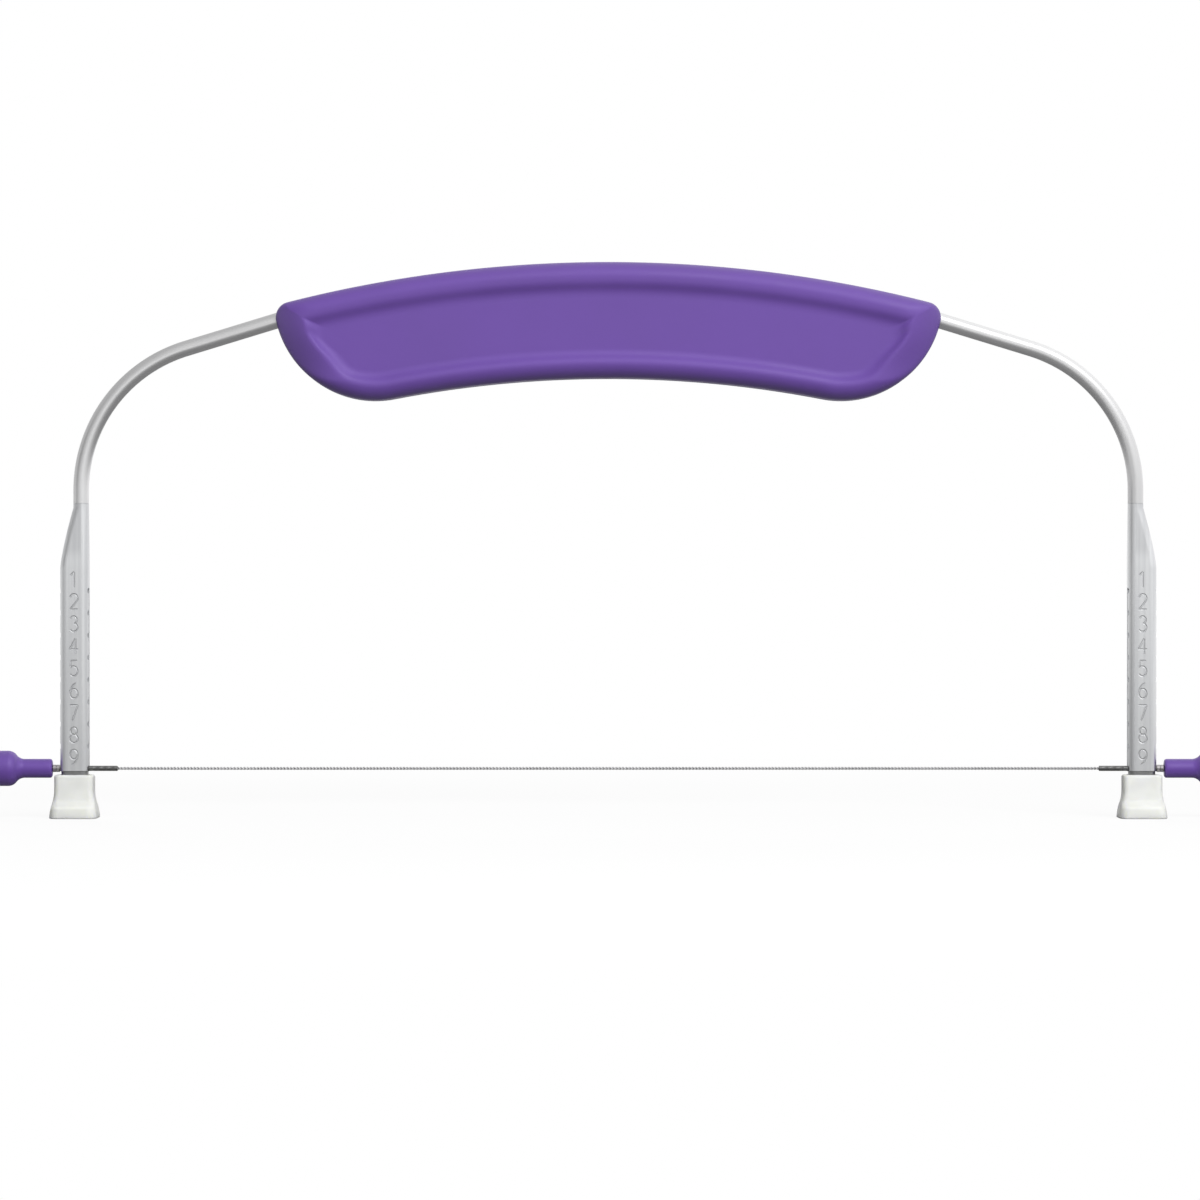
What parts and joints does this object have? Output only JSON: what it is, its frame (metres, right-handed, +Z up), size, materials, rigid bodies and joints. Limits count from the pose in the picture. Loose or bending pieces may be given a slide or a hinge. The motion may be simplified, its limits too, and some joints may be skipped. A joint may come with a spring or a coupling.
{
  "type": "cake leveler",
  "caption": "Bow-shaped cake leveler with a taut cutting wire that slides up and down between numbered legs, an arched grip and flared feet.",
  "frame": {"origin": "on the table, midway between the two feet, under the handle's centre plane", "axes": "+X along the cutting wire towards the right knob, +Y away from the numbered face, +Z up towards the handle"},
  "size_m": [0.3598, 0.019, 0.1587],
  "materials": {
    "rod_steel": "satin",
    "leg_steel": "satin",
    "purple_plastic": "satin",
    "screw_steel": "zinc plated",
    "milky_plastic": "milky, slightly translucent",
    "wire_steel": "bright twisted wire",
    "sleeve_steel": "dark satin",
    "collar_steel": "satin"
  },
  "bodies": {
    "frame": {"bow": "rod_steel", "left_leg": "leg_steel", "right_leg": "leg_steel", "handle_front_shell": "purple_plastic", "handle_rear_shell": "purple_plastic", "handle_screws": "screw_steel", "left_foot": "milky_plastic", "right_foot": "milky_plastic"},
    "wire_unit": {"cutting_wire": "wire_steel", "left_wire_sleeve": "sleeve_steel", "right_wire_sleeve": "sleeve_steel", "left_stop_collar": "collar_steel", "right_stop_collar": "collar_steel"},
    "left_knob_body": {"left_knob": "purple_plastic"},
    "right_knob_body": {"right_knob": "purple_plastic"}
  },
  "joints": [
    {"name": "wire_height", "type": "slide", "parent": "frame", "child": "wire_unit", "axis": [0, 0, 1], "range_m": [0, 0.0508]},
    {"name": "left_knob_turn", "type": "hinge", "parent": "wire_unit", "child": "left_knob_body", "pos_m": [-0.165, 0, 0.0142], "axis": [1, 0, 0], "continuous": true},
    {"name": "right_knob_turn", "type": "hinge", "parent": "wire_unit", "child": "right_knob_body", "pos_m": [0.165, 0, 0.0142], "axis": [1, 0, 0], "continuous": true}
  ]
}
